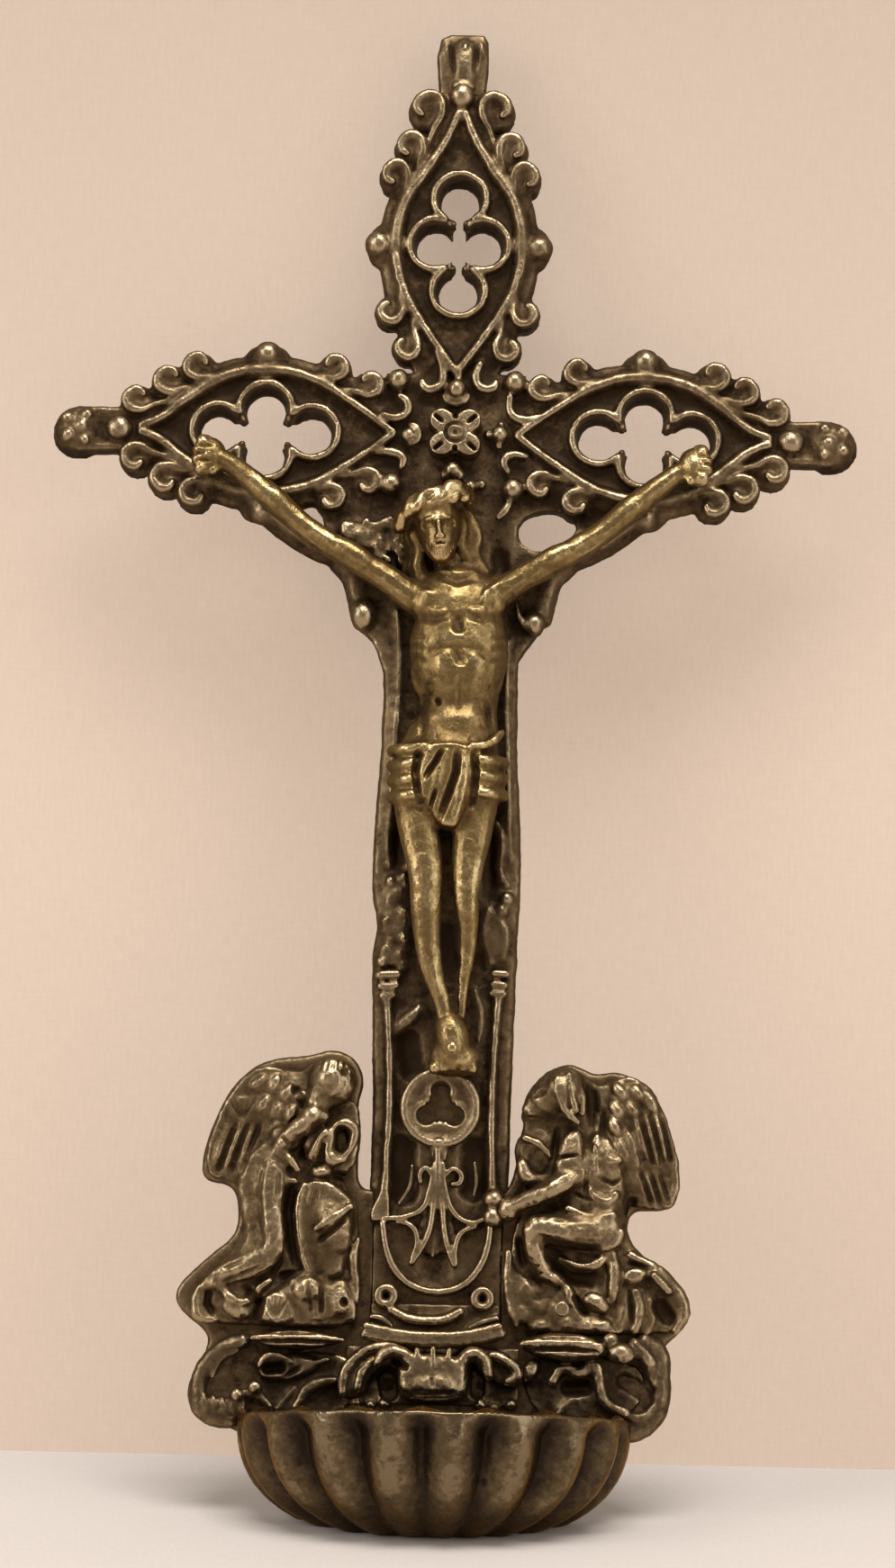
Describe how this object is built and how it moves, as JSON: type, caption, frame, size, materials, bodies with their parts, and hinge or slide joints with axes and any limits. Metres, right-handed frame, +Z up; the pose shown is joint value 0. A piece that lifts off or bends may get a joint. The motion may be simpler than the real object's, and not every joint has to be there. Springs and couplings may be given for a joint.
{
  "type": "holy water stoup",
  "caption": "Wall stoup: a pierced cross with a crucified figure above two kneeling angels and a half-round gadrooned bowl.",
  "frame": {"origin": "on the flat back, behind the centre of the crossing", "axes": "+Z up the cross, +X to the right as seen from the front, +Y out of the back towards the wall; the front faces -Y"},
  "size_m": [0.1608, 0.042, 0.3012],
  "materials": {
    "aged_brass": "dark brown patina with worn yellow edges",
    "worn_brass": "rubbed, half bright",
    "dark_brass": "smooth dark brown patina"
  },
  "bodies": {
    "root": {"cross_plate": "aged_brass", "crossing_rosette": "aged_brass", "shaft_tracery": "aged_brass", "corpus": "worn_brass", "corpus_nails": "worn_brass", "hanging_finial": "aged_brass", "finial_dowel": "aged_brass", "base_plate": "aged_brass", "left_console": "aged_brass", "right_console": "aged_brass", "cornice": "aged_brass", "leaf_mask": "aged_brass", "left_angel": "aged_brass", "right_angel": "aged_brass", "angel_rivets": "worn_brass", "bowl": "dark_brass", "bowl_rivets": "dark_brass"}
  },
  "joints": []
}
